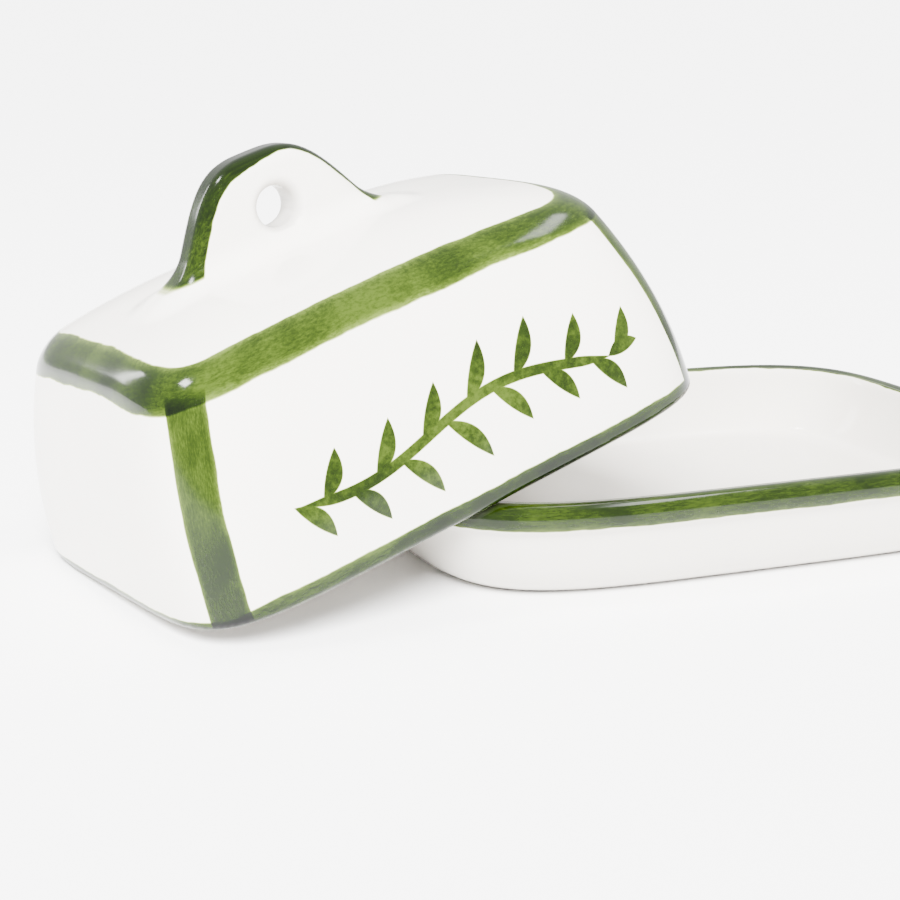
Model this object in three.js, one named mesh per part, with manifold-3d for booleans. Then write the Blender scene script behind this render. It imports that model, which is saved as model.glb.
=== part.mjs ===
// Covered butter dish: a glazed ceramic tray and the box-shaped lid that covers it.
// The lid is off its seat: one end stands on the table, the other leans on the tray rim.
// Millimetres, +Z up, origin at the centre of the tray's foot, front toward -Y.

import * as THREE from "three";
import { mergeVertices } from "three/addons/utils/BufferGeometryUtils.js";
import Module from "manifold-3d";

const wasm = await Module();
wasm.setup();

// ---- driving dimensions ----------------------------------------------------

// Tray: outside at the rim, and how far the foot stands in from it.
const TRAY_LENGTH = 208;
const TRAY_WIDTH = 160;
const TRAY_HEIGHT = 29;
const TRAY_FOOT_INSET = 17.5;
const TRAY_SQUARENESS = 4.6; // exponent of the plan curve: 2 is an ellipse
const RIM_DEPTH = 8.5; // height of the thick rim above the step under it
const RIM_STEP = 1.4; // how far the rim stands out over the wall
const RIM_THICKNESS = 7.5;
const WELL_FLOOR = 7; // thickness of the floor, which the lid stands on
const WELL_CLEARANCE = 2.2; // room between the lid's edge and the end of the flat floor

// Lid: outside at the open edge, and the profile of its wall.
const LID_LENGTH = 171;
const LID_WIDTH = 132;
const LID_WALL_HEIGHT = 58.5; // to where the shoulder starts
const LID_END_LEAN = 12.6; // how far each end leans in over that height
const LID_SIDE_LEAN = 11.3;
const LID_SHOULDER_RADIUS = 13.6;
const LID_SHOULDER_TURN = 70; // degrees from upright where the dome takes over
const LID_DOME_RISE = 6.8;
const LID_DOME_POWER = 2.4;
const LID_SQUARENESS = 6;
const LID_TOP_SQUARENESS = 6;
const LID_THICKNESS = 5;
const EDGE_ROUND = 1.2; // softening of the open edge

// Tab handle, cast in one piece with the lid, and the hole through it.
const TAB_OFFSET = -6; // along the lid's length, from its middle
const TAB_HALF_LENGTH = 37;
const TAB_BASE = 71;
const TAB_TOP = 100;
const TAB_THICKNESS = 13;
const TAB_ROOT_SPREAD = 3; // extra half thickness where it flows into the dome
const HOLE_OFFSET = -5;
const HOLE_HEIGHT = 83.8;
const HOLE_DIAMETER = 11.6;
const HOLE_MOUTH_DIAMETER = 17;

// How the lid lies: turned about Z, tipped up at its +X end, and rolled a little,
// so that both its long edges bear on the end of the tray rim.
const LID_TURN = 9.97;
const LID_TIP = -17.25;
const LID_ROLL = -2.2;
const LID_PLACE = [-101, -5, 26.24];

const RING_POINTS = 44;

// ---- shape helpers ----------------------------------------------------------

const signedPower = (v, p) => Math.sign(v) * Math.abs(v) ** p;

// A level outline, square with soft corners: half length a, half width b.
function outline(a, b, z, squareness) {
  return Array.from({ length: RING_POINTS }, (_, i) => {
    const t = (2 * Math.PI * i) / RING_POINTS;
    const p = 2 / squareness;
    return new THREE.Vector3(a * signedPower(Math.cos(t), p), b * signedPower(Math.sin(t), p), z);
  });
}

// A closed skin over a stack of outlines, with its first and last ones capped.
function loft(outlines) {
  const count = outlines[0].length;
  const middle = (ring) =>
    ring.reduce((sum, p) => sum.add(p), new THREE.Vector3()).divideScalar(count);
  const points = [...outlines.flat(), middle(outlines[0]), middle(outlines.at(-1))];
  const start = points.length - 2;
  const end = points.length - 1;
  const index = [];
  for (let i = 0; i < count; i++) {
    const j = (i + 1) % count;
    index.push(start, j, i);
    for (let row = 0; row < outlines.length - 1; row++) {
      const low = row * count;
      const high = low + count;
      index.push(low + i, low + j, high + j, low + i, high + j, high + i);
    }
    const last = (outlines.length - 1) * count;
    index.push(end, last + i, last + j);
  }
  const geometry = new THREE.BufferGeometry().setFromPoints(points);
  geometry.setIndex(index);
  return geometry;
}

function solid(geometry) {
  const bare = new THREE.BufferGeometry();
  bare.setAttribute("position", geometry.getAttribute("position"));
  bare.setIndex(geometry.getIndex());
  const merged = mergeVertices(bare, 1e-4);
  return new wasm.Manifold(new wasm.Mesh({
    numProp: 3,
    vertProperties: new Float32Array(merged.getAttribute("position").array),
    triVerts: new Uint32Array(merged.getIndex().array),
  }));
}

function geometryOf(body) {
  const mesh = body.getMesh();
  const geometry = new THREE.BufferGeometry();
  geometry.setAttribute("position", new THREE.Float32BufferAttribute(mesh.vertProperties, 3));
  geometry.setIndex(Array.from(mesh.triVerts));
  geometry.computeVertexNormals();
  return geometry;
}

// ---- tray -------------------------------------------------------------------

// Half length and half width of the tray, inset from the outside of the rim.
const trayOutline = (inset, z) =>
  outline(TRAY_LENGTH / 2 - inset, TRAY_WIDTH / 2 - inset, z, TRAY_SQUARENESS);

const rimFoot = TRAY_HEIGHT - RIM_DEPTH;
const seatLength = LID_LENGTH / 2 + WELL_CLEARANCE;
const seatWidth = LID_WIDTH / 2 + WELL_CLEARANCE;

// The inside of the wall, from the rim (t = 0) down to the edge of the flat floor (t = 1).
function wellOutline(t) {
  const drop = Math.sin((t * Math.PI) / 2);
  const reach = 1 - Math.cos((t * Math.PI) / 2);
  const topLength = TRAY_LENGTH / 2 - RIM_THICKNESS;
  const topWidth = TRAY_WIDTH / 2 - RIM_THICKNESS;
  return outline(
    THREE.MathUtils.lerp(topLength, seatLength, 0.55 * drop + 0.45 * reach),
    THREE.MathUtils.lerp(topWidth, seatWidth, 0.55 * drop + 0.45 * reach),
    THREE.MathUtils.lerp(TRAY_HEIGHT - 1.2, WELL_FLOOR, drop),
    TRAY_SQUARENESS,
  );
}

function trayGeometry() {
  const foot = TRAY_FOOT_INSET;
  return loft([
    // underside and rounded heel
    trayOutline(foot, 0),
    trayOutline(foot * 0.84, 0.7),
    trayOutline(foot * 0.62, 3.2),
    trayOutline(foot * 0.43, 7.6),
    trayOutline(foot * 0.28, 13.5),
    trayOutline(RIM_STEP + 1.1, rimFoot),
    // thick rim
    trayOutline(RIM_STEP * 0.3, rimFoot + 1.4),
    trayOutline(0, rimFoot + RIM_DEPTH * 0.5),
    trayOutline(0.6, TRAY_HEIGHT - 1.9),
    trayOutline(2, TRAY_HEIGHT - 0.4),
    trayOutline(3.8, TRAY_HEIGHT),
    trayOutline(5.8, TRAY_HEIGHT - 0.3),
    // inside wall and floor
    ...[0, 0.2, 0.4, 0.6, 0.8, 1].map(wellOutline),
  ]);
}

// ---- lid --------------------------------------------------------------------

// Level outlines of the lid's outside, or of its inside when they stand in by the wall.
function lidOutlines(inset, bottom) {
  const rows = [];
  const row = (end, side, z, squareness) =>
    rows.push(outline(LID_LENGTH / 2 - end - inset, LID_WIDTH / 2 - side - inset, z, squareness));

  // The wall bows: upright at the open edge, leaning in most at the shoulder.
  for (const level of [0, 0.03, 0.07, 0.3, 0.55, 0.8, 1]) {
    const z = level * LID_WALL_HEIGHT;
    const softening = inset ? -EDGE_ROUND : EDGE_ROUND;
    const edge = softening * Math.max(0, 1 - level / 0.07) ** 2;
    row(
      LID_END_LEAN * level ** 2 + edge,
      LID_SIDE_LEAN * level ** 2 + edge,
      level ? z : bottom,
      THREE.MathUtils.lerp(LID_SQUARENESS, LID_TOP_SQUARENESS, level),
    );
  }

  // The shoulder turns from the wall's lean to the dome.
  const from = Math.atan((2 * LID_END_LEAN) / LID_WALL_HEIGHT);
  const to = THREE.MathUtils.degToRad(LID_SHOULDER_TURN);
  const radius = LID_SHOULDER_RADIUS - inset;
  let pull = 0;
  let height = LID_WALL_HEIGHT;
  for (let i = 1; i <= 5; i++) {
    const angle = THREE.MathUtils.lerp(from, to, i / 5);
    pull = radius * (Math.cos(from) - Math.cos(angle));
    height = LID_WALL_HEIGHT + radius * (Math.sin(angle) - Math.sin(from));
    row(LID_END_LEAN + pull, LID_SIDE_LEAN + pull, height, LID_TOP_SQUARENESS);
  }

  // The dome rises from the shoulder to the middle, and its outlines turn oval.
  const halfLength = LID_LENGTH / 2 - LID_END_LEAN - pull - inset;
  const halfWidth = LID_WIDTH / 2 - LID_SIDE_LEAN - pull - inset;
  for (const part of [0.88, 0.72, 0.52, 0.3, 0.1]) {
    const z = height + LID_DOME_RISE * (1 - part ** LID_DOME_POWER);
    const squareness = THREE.MathUtils.lerp(2.5, LID_TOP_SQUARENESS, part);
    rows.push(outline(halfLength * part, halfWidth * part, z, squareness));
  }
  return rows;
}

// Bell-shaped tab: narrow and round at the crest, spreading into the dome.
function tabOutlines() {
  const rise = TAB_TOP - TAB_BASE;
  const half = TAB_THICKNESS / 2;
  const rows = [outline(TAB_HALF_LENGTH + 1, half + TAB_ROOT_SPREAD + 0.5, TAB_BASE - 5, 3)];
  for (const u of [1, 0.93, 0.85, 0.76, 0.66, 0.56, 0.46, 0.36, 0.27, 0.18, 0.1, 0.04]) {
    const z = TAB_BASE + (rise * (1 + Math.cos(Math.PI * u ** 1.6))) / 2;
    const crest = u < 0.36 ? Math.sqrt(1 - (1 - u / 0.36) ** 2) : 1;
    const root = TAB_ROOT_SPREAD * Math.max(0, (u - 0.7) / 0.3) ** 2;
    rows.push(outline(TAB_HALF_LENGTH * u, half * crest + root, z, 3));
  }
  return rows;
}

// The hole opens out softly toward both faces of the tab.
function holeGeometry() {
  const bore = HOLE_DIAMETER / 2;
  const mouth = HOLE_MOUTH_DIAMETER / 2;
  const face = TAB_THICKNESS / 2;
  const side = [[2, bore], [4, bore + 0.7], [face - 0.8, mouth - 0.9], [face + 0.6, mouth + 0.6]];
  const back = side.map(([y, r]) => new THREE.Vector2(r, -y)).reverse();
  const front = side.map(([y, r]) => new THREE.Vector2(r, y));
  const reach = face + 8;
  const profile = [
    new THREE.Vector2(0, -reach),
    new THREE.Vector2(mouth + 3, -reach),
    ...back,
    ...front,
    new THREE.Vector2(mouth + 3, reach),
    new THREE.Vector2(0, reach),
  ];
  return new THREE.LatheGeometry(profile, 28).translate(HOLE_OFFSET, 0, HOLE_HEIGHT);
}

function lidGeometry() {
  const outside = solid(loft(lidOutlines(0, 0)));
  const tab = solid(loft(tabOutlines()).translate(TAB_OFFSET, 0, 0));
  const inside = solid(loft(lidOutlines(LID_THICKNESS, -1)));
  const hole = solid(holeGeometry());
  return geometryOf(outside.add(tab).subtract(inside).subtract(hole));
}

// ---- assembly ---------------------------------------------------------------

const glaze = { color: 0xf3f1ec, roughness: 0.12, metalness: 0 };

const tray = new THREE.Mesh(trayGeometry(), new THREE.MeshStandardMaterial(glaze));
tray.name = "tray";

const lid = new THREE.Mesh(lidGeometry(), new THREE.MeshStandardMaterial(glaze));
lid.name = "lid";

const lidPlace = new THREE.Group();
lidPlace.rotation.set(
  THREE.MathUtils.degToRad(LID_ROLL),
  THREE.MathUtils.degToRad(LID_TIP),
  THREE.MathUtils.degToRad(LID_TURN),
  "ZYX",
);
lidPlace.position.set(...LID_PLACE);
lidPlace.add(lid);

const butterDish = new THREE.Group();
butterDish.add(tray, lidPlace);

export default butterDish;
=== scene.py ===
"""Covered butter dish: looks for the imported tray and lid.

Hand-painted glazed ceramic. The lid leans on the tray rim. Shapes are in
millimetres in each piece's own frame, and go into the row frame in metres.
"""

import math

import bpy
import numpy as np
from mathutils import Euler, Matrix, Vector


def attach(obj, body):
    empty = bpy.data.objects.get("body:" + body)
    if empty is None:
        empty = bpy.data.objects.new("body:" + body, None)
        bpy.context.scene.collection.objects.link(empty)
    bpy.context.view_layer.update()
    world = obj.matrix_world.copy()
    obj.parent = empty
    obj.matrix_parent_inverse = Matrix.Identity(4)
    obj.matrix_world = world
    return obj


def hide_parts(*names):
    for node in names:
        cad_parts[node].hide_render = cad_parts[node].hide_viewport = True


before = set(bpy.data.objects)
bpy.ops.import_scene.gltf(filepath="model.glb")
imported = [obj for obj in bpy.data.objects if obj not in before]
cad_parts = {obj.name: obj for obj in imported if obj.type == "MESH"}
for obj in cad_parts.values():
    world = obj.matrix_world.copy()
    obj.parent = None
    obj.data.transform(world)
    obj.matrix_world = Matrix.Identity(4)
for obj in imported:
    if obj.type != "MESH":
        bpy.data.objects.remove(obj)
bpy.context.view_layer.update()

MM = 0.001

# ---- sizes, as the solids have them -----------------------------------------

TRAY_LENGTH, TRAY_WIDTH, TRAY_HEIGHT = 208.0, 160.0, 29.0
TRAY_SQUARENESS = 4.6
FOOT_INSET = 17.5
WELL_FLOOR = 7.0
RIM_DEPTH, RIM_THICKNESS = 8.5, 7.5

LID_LENGTH, LID_WIDTH, WALL_HEIGHT = 171.0, 132.0, 58.5
END_LEAN, SIDE_LEAN = 12.6, 11.3
LID_SQUARENESS, DOME_SQUARENESS = 6, 3.6
MEAN_LEAN = 12
LID_THICKNESS = 5.0
DOME_START, DOME_RISE, DOME_POWER = 65.9, 6.8, 2.4
DOME_HALF_LENGTH, DOME_HALF_WIDTH = 65.0, 46.8
SHOULDER_ROUND, EDGE_ROUND = 5.0, 2.0

TAB_OFFSET, TAB_HALF_LENGTH, TAB_POWER = -6.0, 37.0, 1.6
TAB_BASE, TAB_TOP, TAB_THICKNESS = 71.0, 100.0, 13.0
TAB_ROUND, TAB_FILLET = 4.5, 8.0
HOLE_OFFSET, HOLE_HEIGHT, HOLE_RADIUS, HOLE_ROUND = -5.0, 83.8, 5.8, 3.2

LID_PLACE = Vector((-101.0, -5.0, 26.24))
LID_TURN = Euler([math.radians(v) for v in (-2.2, -17.25, 9.97)], "XYZ")

LID_GRID = 1.4  # spacing of the lid's surface points


# ---- lid as one smooth field: negative inside the clay ----------------------

def cut_round(a, b, radius):
    """Both fields at once, with the edge between them rounded."""
    corner = np.hypot(np.maximum(radius + a, 0), np.maximum(radius + b, 0))
    return np.minimum(-radius, np.maximum(a, b)) + corner


def join_round(a, b, radius):
    """Either field, with a fillet where they meet."""
    corner = np.hypot(np.maximum(radius - a, 0), np.maximum(radius - b, 0))
    return np.maximum(radius, np.minimum(a, b)) - corner


def square_radius(x, y, half_x, half_y, power):
    """How far out a point is (1 on the outline), and the slope of that."""
    u, v = np.abs(x) / half_x, np.abs(y) / half_y
    reach = np.maximum((u**power + v**power) ** (1 / power), 1e-6)
    slope_x = (u / reach) ** (power - 1) / half_x
    slope_y = (v / reach) ** (power - 1) / half_y
    return reach, np.hypot(slope_x, slope_y)


def lid_wall(p):
    x, y, z = p
    level = np.clip(z / WALL_HEIGHT, 0, 1.3)
    half_length = LID_LENGTH / 2 - END_LEAN * level**2
    half_width = LID_WIDTH / 2 - SIDE_LEAN * level**2
    reach, slope = square_radius(x, y, half_length, half_width, LID_SQUARENESS)
    lean = 2 * MEAN_LEAN * level / WALL_HEIGHT
    return (reach - 1) / slope / np.sqrt(1 + lean**2)


def lid_dome(p):
    x, y, z = p
    reach, slope = square_radius(x, y, DOME_HALF_LENGTH, DOME_HALF_WIDTH, DOME_SQUARENESS)
    height = DOME_START + DOME_RISE * (1 - reach**DOME_POWER)
    fall = DOME_RISE * DOME_POWER * reach ** (DOME_POWER - 1) * slope
    return (z - height) / np.sqrt(1 + fall**2)


def tab_edge(p):
    """Distance outside the tab's bell-shaped outline, seen from the side."""
    x, _, z = p
    far = np.abs(x - TAB_OFFSET)
    u = np.minimum(far / TAB_HALF_LENGTH, 1)
    rise = (TAB_TOP - TAB_BASE) / 2
    outline = TAB_BASE + rise * (1 + np.cos(math.pi * u**TAB_POWER))
    beyond = np.maximum(far - TAB_HALF_LENGTH, 0)
    outline = outline - 0.4 * beyond - 0.05 * beyond**2
    fall = rise * np.sin(math.pi * u**TAB_POWER) * math.pi * TAB_POWER
    fall = fall * u ** (TAB_POWER - 1) / TAB_HALF_LENGTH
    return (z - outline) / np.sqrt(1 + fall**2)


def lid_field(p):
    x, y, z = p
    box = cut_round(lid_wall(p), lid_dome(p), SHOULDER_ROUND)
    tab = cut_round(tab_edge(p), np.abs(y) - TAB_THICKNESS / 2, TAB_ROUND)
    shell = np.maximum(join_round(box, tab, TAB_FILLET), -(box + LID_THICKNESS))
    shell = cut_round(shell, -z, EDGE_ROUND)
    hole = HOLE_RADIUS - np.hypot(x - HOLE_OFFSET, z - HOLE_HEIGHT)
    return cut_round(shell, hole, HOLE_ROUND)


def slope_of(field, p, reach=0.05):
    """The field's gradient at points p (3 rows)."""
    rows = []
    for axis in range(3):
        step = np.zeros((3, 1))
        step[axis] = reach
        rows.append((field(p + step) - field(p - step)) / (2 * reach))
    return np.array(rows)


def skin(field, low, high, spacing):
    """Vertices, faces and outward normals of the field's zero surface."""
    axes = [np.arange(a, b, spacing) for a, b in zip(low, high)]
    values = field(np.array(np.meshgrid(*axes, indexing="ij")))
    inside = values < 0
    cells = tuple(n - 1 for n in values.shape)
    total, count = np.zeros((3, *cells)), np.zeros(cells)
    for axis in range(3):
        for j in (0, 1):
            for k in (0, 1):
                start = np.insert([j, k], axis, 0)
                end = np.insert([j, k], axis, 1)
                a = values[tuple(slice(s, s + n) for s, n in zip(start, cells))]
                b = values[tuple(slice(s, s + n) for s, n in zip(end, cells))]
                crossed = (a < 0) != (b < 0)
                part = np.where(crossed, a / np.where(crossed, a - b, 1), 0)
                for d in range(3):
                    total[d] += crossed * (part if d == axis else start[d])
                count += crossed
    active = count > 0
    ids = np.full(cells, -1)
    ids[active] = np.arange(active.sum())
    where = np.array(np.nonzero(active))
    points = np.array([a[0] for a in axes])[:, None] + spacing * (
        where + total[:, active] / count[active]
    )

    faces = []
    for axis in range(3):
        ahead = np.roll(inside, -1, axis)
        b, c = [d for d in range(3) if d != axis]
        for sign, mask in ((1, inside & ~ahead), (-1, ~inside & ahead)):
            at = np.array(np.nonzero(mask))
            at = at[:, (at[axis] < cells[axis]) & (at[b] > 0) & (at[c] > 0)]
            at = at[:, (at[b] < cells[b]) & (at[c] < cells[c])]
            ring = []
            for db, dc in ((1, 1), (0, 1), (0, 0), (1, 0)):
                cell = at.copy()
                cell[b] -= db
                cell[c] -= dc
                ring.append(ids[tuple(cell)])
            flip = sign * (-1 if axis == 1 else 1)
            faces.append(np.array(ring[::flip]).T)
    faces = np.concatenate(faces)

    for _ in range(4):
        slope = slope_of(field, points)
        points = points - field(points) * slope / np.maximum((slope**2).sum(0), 0.2)
    normals = slope_of(field, points)
    return points.T, faces, (normals / np.linalg.norm(normals, axis=0)).T


# ---- tray as a stack of outlines --------------------------------------------

def even_outline(half_x, half_y, power, count):
    """Points evenly spaced round a square with soft corners."""
    t = np.linspace(0, 2 * math.pi, 4001)
    x = half_x * np.sign(np.cos(t)) * np.abs(np.cos(t)) ** (2 / power)
    y = half_y * np.sign(np.sin(t)) * np.abs(np.sin(t)) ** (2 / power)
    run = np.concatenate([[0], np.cumsum(np.hypot(np.diff(x), np.diff(y)))])
    at = np.linspace(0, run[-1], count, endpoint=False)
    return np.interp(at, run, x), np.interp(at, run, y), at, run[-1]


def curve_through(points, steps):
    """A smooth run of points through the given ones."""
    p = np.vstack([2 * points[0] - points[1], points, 2 * points[-1] - points[-2]])
    out = []
    for i in range(len(points) - 1):
        a, b, c, d = p[i : i + 4]
        for t in np.arange(steps) / steps:
            out.append(
                0.5
                * (
                    2 * b
                    + (c - a) * t
                    + (2 * a - 5 * b + 4 * c - d) * t**2
                    + (3 * b - a - 3 * c + d) * t**3
                )
            )
    return np.array(out + [points[-1]])


def tray_profile():
    """(inset at the ends, inset at the sides, height), from the foot to the floor."""
    f, top, low = FOOT_INSET, TRAY_HEIGHT, TRAY_HEIGHT - RIM_DEPTH
    outside = [(f, 0), (f * 0.84, 0.7), (f * 0.62, 3.2), (f * 0.43, 7.6), (f * 0.28, 13.5)]
    outside += [(2.9, low - 1.2), (1.9, low + 0.2), (0.7, low + 1.5), (0, low + 4.2)]
    outside += [(0.5, top - 2), (1.9, top - 0.5), (3.8, top), (5.8, top - 0.35)]
    rows = [(a, a, z) for a, z in outside]
    seat_end = TRAY_LENGTH / 2 - (LID_LENGTH / 2 + 2.2)
    seat_side = TRAY_WIDTH / 2 - (LID_WIDTH / 2 + 2.2)
    for t in (0, 0.2, 0.4, 0.6, 0.8, 1):
        drop, reach = math.sin(t * math.pi / 2), 1 - math.cos(t * math.pi / 2)
        part = 0.55 * drop + 0.45 * reach
        height = top - 1.2 + (WELL_FLOOR - top + 1.2) * drop
        end = RIM_THICKNESS + (seat_end - RIM_THICKNESS) * part
        side = RIM_THICKNESS + (seat_side - RIM_THICKNESS) * part
        rows.append((end, side, height))
    return curve_through(np.array(rows), 5)


def tray_mesh(count=300):
    profile = tray_profile()
    run = np.concatenate([[0], np.cumsum(np.linalg.norm(np.diff(profile[:, 1:], axis=0), axis=1))])
    crest = np.argmax(profile[:, 2])
    rings, along, across = [], [], []
    for (end, side, z), distance in zip(profile, run - run[crest]):
        x, y, at, length = even_outline(
            TRAY_LENGTH / 2 - end, TRAY_WIDTH / 2 - side, TRAY_SQUARENESS, count
        )
        rings.append(np.column_stack([x, y, np.full(count, z)]))
        along.append(2 * math.pi * at / length)
        across.append(np.full(count, distance))
    faces = []
    for row in range(len(rings) - 1):
        a, b = row * count, (row + 1) * count
        i = np.arange(count)
        j = (i + 1) % count
        faces.append(np.column_stack([a + i, a + j, b + j, b + i]))
    # Flat caps in shrinking rings, so that the shading stays even.
    points, extra = [np.concatenate(rings)], []
    for ring, start, turn in ((rings[0], 0, -1), (rings[-1], (len(rings) - 1) * count, 1)):
        last = start
        for share in (0.9, 0.7, 0.45, 0.2, 0.02):
            base = sum(len(p) for p in points)
            points.append(ring * (share, share, 1))
            i = np.arange(count)
            j = (i + 1) % count
            quad = np.column_stack([last + i, last + j, base + j, base + i])
            extra.append(quad[:, ::turn])
            along.append(along[0])
            across.append(np.full(count, turn * (90 + 60 * (1 - share))))
            last = base
        extra.append((last + np.arange(count)[::turn])[None])
    return np.concatenate(points), faces + extra, np.concatenate(along), np.concatenate(across)


# ---- pieces ------------------------------------------------------------------

def make_piece(name, points, faces, place, body, node, normals=None):
    mesh = bpy.data.meshes.new(name)
    mesh.from_pydata((points * MM).tolist(), [], [f.tolist() for group in faces for f in group])
    mesh.polygons.foreach_set("use_smooth", [True] * len(mesh.polygons))
    mesh.transform(place)
    mesh.update()
    if normals is not None:
        turn = np.array(place.to_3x3())
        mesh.normals_split_custom_set_from_vertices((normals @ turn.T).tolist())
    piece = bpy.data.objects.new(name, mesh)
    bpy.context.scene.collection.objects.link(piece)
    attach(piece, body)
    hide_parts(node)
    return piece


def vertex_values(piece, name, values):
    """A number or a vector for each vertex, for the material to read."""
    kind = "FLOAT" if values.ndim == 1 else "FLOAT_VECTOR"
    attribute = piece.data.attributes.new(name, kind, "POINT")
    key = "value" if kind == "FLOAT" else "vector"
    attribute.data.foreach_set(key, values.astype(np.float32).ravel())


def make_lid():
    """The lid's mesh, with what its paint is placed by: distances in mm, or 0 to 1."""
    low = (-LID_LENGTH / 2 - 4, -LID_WIDTH / 2 - 4, -4)
    high = (LID_LENGTH / 2 + 5, LID_WIDTH / 2 + 5, TAB_TOP + 5)
    points, faces, normals = skin(lid_field, low, high, LID_GRID)
    place = Matrix.Translation(LID_PLACE * MM) @ LID_TURN.to_matrix().to_4x4()
    lid = make_piece("lid_shell", points, [faces], place, "lid", "lid", normals)

    p = points.T
    x, y, z = p
    wall, dome = lid_wall(p), lid_dome(p)
    above = np.clip((z - lid_height(x, y) - 0.5) / 5.0, 0, 1)
    inner = np.clip(-cut_round(wall, dome, SHOULDER_ROUND) / 2.5, 0, 1)
    inner = inner * (above == 0)  # 1 on the inside of the shell
    level = np.clip(z / WALL_HEIGHT, 0, 1.2)
    from_end = LID_LENGTH / 2 - END_LEAN * level**2 - np.abs(x)
    from_side = LID_WIDTH / 2 - SIDE_LEAN * level**2 - np.abs(y)
    around = np.arctan2(y / LID_WIDTH, x / LID_LENGTH)
    tab = -tab_edge(p)
    vertex_values(lid, "clay", points)
    vertex_values(lid, "inner", inner)
    vertex_values(lid, "shoulder", dome - wall)
    vertex_values(lid, "corner", from_end - from_side)
    vertex_values(lid, "tab", tab)
    vertex_values(lid, "above", above)
    # bore: near 1 on the hole's inner wall, where the material paints shade
    bore = np.hypot(x - HOLE_OFFSET, z - HOLE_HEIGHT) - HOLE_RADIUS
    vertex_values(lid, "bore", np.where(np.abs(y) < 6.4, np.clip(1 - bore / 3.0, 0, 1), 0))
    vertex_values(lid, "around", np.column_stack([80 * np.cos(around), 80 * np.sin(around), z]))
    return lid


def lid_height(x, y):
    reach, _ = square_radius(x, y, DOME_HALF_LENGTH, DOME_HALF_WIDTH, DOME_SQUARENESS)
    return DOME_START + DOME_RISE * (1 - reach**DOME_POWER)


def make_tray():
    points, faces, along, across = tray_mesh()
    tray = make_piece("tray_dish", points, faces, Matrix(), "tray", "tray")
    vertex_values(tray, "clay", points)
    vertex_values(tray, "rim", across)
    circle = np.column_stack([90 * np.cos(along), 90 * np.sin(along), across])
    vertex_values(tray, "around", circle)
    return tray


# ---- materials ----------------------------------------------------------------

INK = (0.021, 0.04, 0.0025)  # how much of each colour one coat of paint lets back


class Nodes:
    """Short names for building a material's node tree."""

    def __init__(self, name):
        self.material = bpy.data.materials.new(name)
        self.material.use_nodes = True
        self.tree = self.material.node_tree
        self.tree.nodes.clear()

    def add(self, kind, inputs=(), output=0, **settings):
        node = self.tree.nodes.new(kind)
        for key, value in settings.items():
            setattr(node, key, value)
        for key, value in dict(inputs).items():
            if isinstance(value, bpy.types.NodeSocket):
                self.tree.links.new(value, node.inputs[key])
            else:
                node.inputs[key].default_value = value
        return node.outputs[output] if len(node.outputs) else node

    def math(self, operation, *values):
        return self.add("ShaderNodeMath", enumerate(values), operation=operation)

    def vector(self, operation, *values, output=0):
        return self.add("ShaderNodeVectorMath", enumerate(values), output, operation=operation)

    def read(self, name, vector=False):
        output = "Vector" if vector else "Fac"
        return self.add("ShaderNodeAttribute", output=output, attribute_name=name)

    def noise(self, vector, scale, detail=2.0, roughness=0.5):
        values = {"Vector": vector, "Scale": scale, "Detail": detail, "Roughness": roughness}
        return self.add("ShaderNodeTexNoise", values)

    def ramp(self, value, low, high, start=0.0, end=1.0):
        """value from low to high gives start to end, softly."""
        values = {"Value": value, 1: low, 2: high, 3: start, 4: end}
        return self.add("ShaderNodeMapRange", values, interpolation_type="SMOOTHSTEP")


def streaks(n, vector, along, across, seed):
    """Bristle marks and blots in the paint, from about 0 to 1."""
    moved = n.vector("ADD", vector, (seed * 7, seed * 11, seed * 13))
    fine = n.noise(n.vector("MULTIPLY", moved, (along, along, across)), 1.3, 5.0, 0.75)
    blots = n.noise(moved, 0.05, 2.0, 0.5)
    return n.math("ADD", n.math("MULTIPLY", fine, 0.5), n.math("MULTIPLY", blots, 0.5))


def wobble(n, clay, seed, size=0.05, amount=1.1):
    """How far a hand-painted edge wanders, in mm."""
    moved = n.vector("ADD", clay, (seed * 31, seed * 17, seed * 5))
    return n.math("MULTIPLY", n.math("SUBTRACT", n.noise(moved, size, 3.0, 0.6), 0.5), amount * 2)


def band(n, distance, half_width, soft=0.3):
    """1 inside a stroke of that half width and 0 outside; thinner paint at its edges."""
    far = n.math("ABSOLUTE", distance)
    edge = n.ramp(far, half_width - soft, half_width + soft, 1.0, 0.0)
    return n.math("MULTIPLY", edge, n.ramp(far, half_width - 2.0, half_width, 1.0, 0.72))


def glaze(n, white, paint, shade=None):
    """White glaze over the clay, with paint (1 is one full coat) under it; shade, if given, is
    painted shade multiplied into the colour.
    """
    channels = []
    for ink, base in zip(INK, white):
        channels.append(n.math("MULTIPLY", n.math("POWER", ink, paint), base))
    # painted shade: the colour darkened where shade falls
    if shade is not None:
        channels = [n.math("MULTIPLY", channel, shade) for channel in channels]
    colour = n.add(
        "ShaderNodeCombineColor", {"Red": channels[0], "Green": channels[1], "Blue": channels[2]}
    )
    clay = n.read("clay", vector=True)
    swell = n.noise(clay, 0.045, 1.0)
    peel = n.noise(clay, 0.35, 2.0)
    height = n.math("ADD", swell, n.math("MULTIPLY", peel, 0.05))
    normal = n.add("ShaderNodeBump", {"Strength": 0.25, "Distance": 0.0012, "Height": height})
    shader = n.add(
        "ShaderNodeBsdfPrincipled",
        {
            "Base Color": colour,
            "Roughness": n.ramp(swell, 0.3, 0.7, 0.1, 0.16),
            "IOR": 1.5,
            "Specular IOR Level": 0.24,
            "Normal": normal,
        },
    )
    n.add("ShaderNodeOutputMaterial", {"Surface": shader})
    return n.material


def coat(n, mask, marks, thin=0.82, thick=1.25):
    """A painted stroke's depth of colour: its shape times its bristle marks."""
    return n.math("MULTIPLY", mask, n.ramp(marks, 0.36, 0.64, thin, thick))


def total(n, parts):
    result = parts[0]
    for part in parts[1:]:
        result = n.math("ADD", result, part)
    return result


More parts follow.
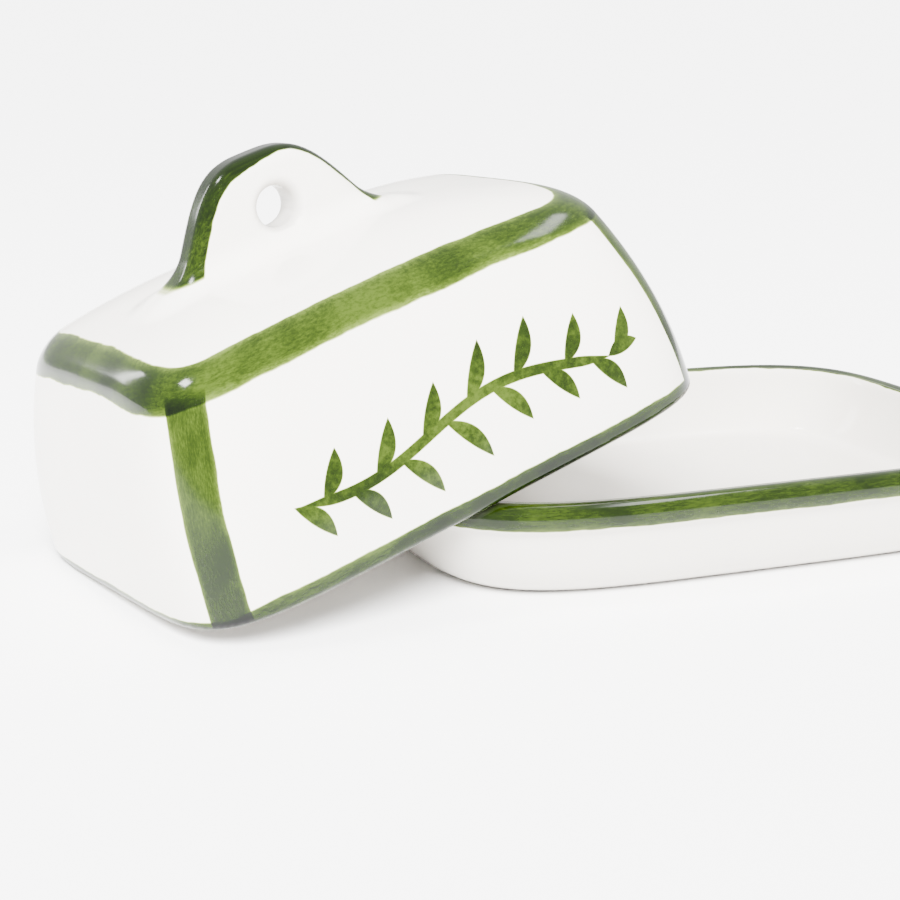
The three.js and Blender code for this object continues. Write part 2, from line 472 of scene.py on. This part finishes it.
def leaf_stroke(n, clay, start, end, width, bend):
    """A brush stroke on the front wall, from start to end as (x, z) in mm.

    It is thin at both ends and full in the middle; returns 1 inside it.
    """
    run = Vector(end) - Vector(start)
    length = run.length
    way = run / length
    offset = n.vector("SUBTRACT", clay, (start[0], 0, start[1]))
    t = n.vector("DOT_PRODUCT", offset, (way.x / length, 0, way.y / length), output="Value")
    side = n.vector("DOT_PRODUCT", offset, (-way.y, 0, way.x), output="Value")
    hump = n.math("MULTIPLY", n.math("MULTIPLY", t, n.math("SUBTRACT", 1.0, t)), 4.0)
    side = n.math("SUBTRACT", side, n.math("MULTIPLY", hump, bend))
    room = n.math("SUBTRACT", n.math("MULTIPLY", hump, width), n.math("ABSOLUTE", side))
    return n.ramp(room, -0.2, 0.25)


STEM_MIDDLE, STEM_SWING, STEM_LENGTH, STEM_START = 26.0, 4.2, 15.5, 0.6


def stem_height(x):
    return STEM_MIDDLE + STEM_SWING * math.sin(x / STEM_LENGTH + STEM_START)


def sprig(n, clay):
    """A plain leafy sprig along the front wall, where a painter would put a motif."""
    where = n.add("ShaderNodeSeparateXYZ", {0: clay}, output="X")
    height = n.add("ShaderNodeSeparateXYZ", {0: clay}, output="Z")
    wave = n.math("SINE", n.math("ADD", n.math("DIVIDE", where, STEM_LENGTH), STEM_START))
    line = n.math("ADD", n.math("MULTIPLY", wave, STEM_SWING), STEM_MIDDLE)
    off = n.math("ABSOLUTE", n.math("SUBTRACT", height, line))
    taper = n.ramp(n.math("ABSOLUTE", where), 40.0, 57.0, 1.5, -0.6)
    strokes = [n.ramp(n.math("SUBTRACT", taper, off), -0.15, 0.3)]
    for i, x in enumerate(range(-52, 53, 8)):
        z = stem_height(x)
        size = 14.5 - 0.5 * (i % 3) - 0.06 * abs(x)
        up = 1 if i % 2 else -1
        tip = (x + 0.72 * size, z + up * size)
        strokes.append(leaf_stroke(n, clay, (x, z), tip, 2.3, -1.4 * up))
    strokes.append(leaf_stroke(n, clay, (50, stem_height(50)), (61, 24), 2.1, 0.8))
    result = strokes[0]
    for stroke in strokes[1:]:
        result = n.math("MAXIMUM", result, stroke)
    front = n.ramp(n.add("ShaderNodeSeparateXYZ", {0: clay}, output="Y"), -30.0, -28.0, 1.0, 0.0)
    return n.math("MULTIPLY", result, front)


def lid_material():
    n = Nodes("lid_glaze_painted")
    clay = n.read("clay", vector=True)
    around = n.read("around", vector=True)
    where = n.add("ShaderNodeSeparateXYZ", {0: clay}, output="X")
    height = n.add("ShaderNodeSeparateXYZ", {0: clay}, output="Z")
    outer = n.ramp(n.read("inner"), 0.35, 0.6, 1.0, 0.0)
    bare = n.math("SUBTRACT", 1.0, n.read("above"))
    left = n.ramp(where, -78.0, -60.0, 1.0, 0.0)  # how far round to the left end

    shoulder = n.math("ADD", n.read("shoulder"), wobble(n, clay, 1.0))
    shoulder = n.math("ADD", shoulder, n.math("SUBTRACT", n.math("MULTIPLY", left, 2.6), 0.6))
    top = n.math("MULTIPLY", band(n, shoulder, 4.7), bare)
    top_marks = streaks(n, around, 0.45, 1.5, 3.0)

    side = n.ramp(where, -20.0, 20.0, 1.8, -3.2)  # the right pair of bands sits further round
    corner = n.math("ADD", n.math("SUBTRACT", n.read("corner"), side), wobble(n, clay, 2.0))
    upright = n.math("MULTIPLY", band(n, corner, 7.7), n.ramp(height, 55.0, 60.0, 1.0, 0.0))
    mix = n.add("ShaderNodeCombineXYZ", {0: n.read("corner"), 1: n.read("corner"), 2: height})
    upright_marks = streaks(n, mix, 1.2, 0.5, 7.0)
    deeper = n.ramp(height, 2.0, 42.0, 1.25, 0.95)

    low = n.math("ADD", n.math("ADD", height, wobble(n, clay, 3.0)), n.math("MULTIPLY", left, 2.0))
    base = band(n, low, 5.0)
    base_marks = streaks(n, around, 0.35, 1.5, 11.0)

    edge = n.math("ADD", n.read("tab"), wobble(n, clay, 4.0, 0.12, 0.5))
    edge = n.math("SUBTRACT", edge, n.ramp(where, -14.0, 4.0, 3.0, 1.1))  # wider on the left
    handle = n.ramp(edge, 0.0, 0.6, 1.0, 0.0)
    handle = n.math("MULTIPLY", handle, n.ramp(n.read("above"), 0.4, 0.62))
    across = n.add("ShaderNodeSeparateXYZ", {0: clay}, output="Y")
    run = n.add("ShaderNodeCombineXYZ", {0: height, 1: height, 2: across})
    handle_marks = streaks(n, run, 0.45, 1.4, 13.0)

    leaf_marks = streaks(n, clay, 0.4, 0.4, 17.0)
    fuller = n.math("ADD", n.math("MULTIPLY", left, 0.3), 1.0)
    paint = total(
        n,
        [
            n.math("MULTIPLY", coat(n, top, top_marks), fuller),
            n.math("MULTIPLY", coat(n, upright, upright_marks), deeper),
            coat(n, base, base_marks, 1.0, 1.7),
            coat(n, handle, handle_marks, 0.95, 1.6),
            coat(n, sprig(n, clay), leaf_marks, 0.8, 1.3),
        ],
    )
    hole_painted_shade = n.ramp(n.read("bore"), 0.0, 1.0, 1.0, 0.72)  # painted shade: the colour darker inside the hole, where shade falls
    return glaze(n, (0.735, 0.705, 0.655), n.math("MULTIPLY", paint, outer), hole_painted_shade)


def tray_material():
    n = Nodes("tray_glaze_painted")
    clay = n.read("clay", vector=True)
    rim = n.math("ADD", n.math("ADD", n.read("rim"), 2.9), wobble(n, clay, 5.0, 0.06, 1.0))
    marks = streaks(n, n.read("around", vector=True), 0.3, 1.5, 19.0)
    # painted shade: the tray's white is darker than the lid's, though both are the same glaze
    return glaze(n, (0.60, 0.572, 0.524), coat(n, band(n, rim, 6.2), marks, 0.95, 1.45))


# ---- stage ---------------------------------------------------------------------

def make_floor():
    mesh = bpy.data.meshes.new("floor")
    r = 15.0
    mesh.from_pydata([(-r, -r, 0), (r, -r, 0), (r, r, 0), (-r, r, 0)], [], [(0, 1, 2, 3)])
    floor = bpy.data.objects.new("floor", mesh)
    floor.location.z = -0.0004
    bpy.context.scene.collection.objects.link(floor)
    n = Nodes("pale_floor")
    shader = n.add(
        "ShaderNodeBsdfPrincipled", {"Base Color": (0.98, 0.98, 0.98, 1), "Roughness": 0.9}
    )
    n.add("ShaderNodeOutputMaterial", {"Surface": shader})
    mesh.materials.append(n.material)


def light(name, kind, way, power, distance=1.0, **settings):
    """A light seen from the object in direction `way`."""
    data = bpy.data.lights.new(name, kind)
    data.energy = power
    for key, value in settings.items():
        setattr(data, key, value)
    lamp = bpy.data.objects.new(name, data)
    way = Vector(way).normalized()
    lamp.location = Vector((-0.08, 0, 0.06)) + way * distance
    lamp.rotation_euler = (-way).to_track_quat("-Z", "Y").to_euler()
    bpy.context.scene.collection.objects.link(lamp)
    return lamp


def make_lights():
    world = bpy.data.worlds.new("studio")
    world.use_nodes = True
    background = world.node_tree.nodes["Background"]
    background.inputs["Color"].default_value = (1, 1, 1, 1)
    background.inputs["Strength"].default_value = 1.6
    bpy.context.scene.world = world
    sun = light("soft", "SUN", (-0.35, -0.8, 0.75), 26.0, angle=0.5)
    sun.visible_glossy = False  # the boxes below make the glints
    boxes = (
        ("left_box", (-0.6, -0.03, 0.8), 6.0, 0.9, 0.16, 0.1),
        ("right_box", (0.45, -0.1, 0.88), 5.0, 1.0, 0.5, 0.14),
        ("back_box", (-0.6, 0.72, 0.33), 2.0, 1.0, 0.08, 0.3),
    )
    for name, way, power, distance, wide, high in boxes:
        light(name, "AREA", way, power, distance, shape="RECTANGLE", size=wide, size_y=high)



def make_camera():
    data = bpy.data.cameras.new("camera")
    data.lens, data.sensor_width = 83.45, 36.0
    data.clip_start, data.clip_end = 0.01, 60
    camera = bpy.data.objects.new("camera", data)
    camera.location = (-0.3026, -0.5645, 0.1771)
    aim = Vector((-0.0744, -0.0027, 0.0283))
    camera.rotation_euler = (aim - camera.location).to_track_quat("-Z", "Y").to_euler()
    bpy.context.scene.collection.objects.link(camera)
    bpy.context.scene.camera = camera


lid = make_lid()
lid.data.materials.append(lid_material())
tray = make_tray()
tray.data.materials.append(tray_material())
make_floor()
make_lights()
make_camera()
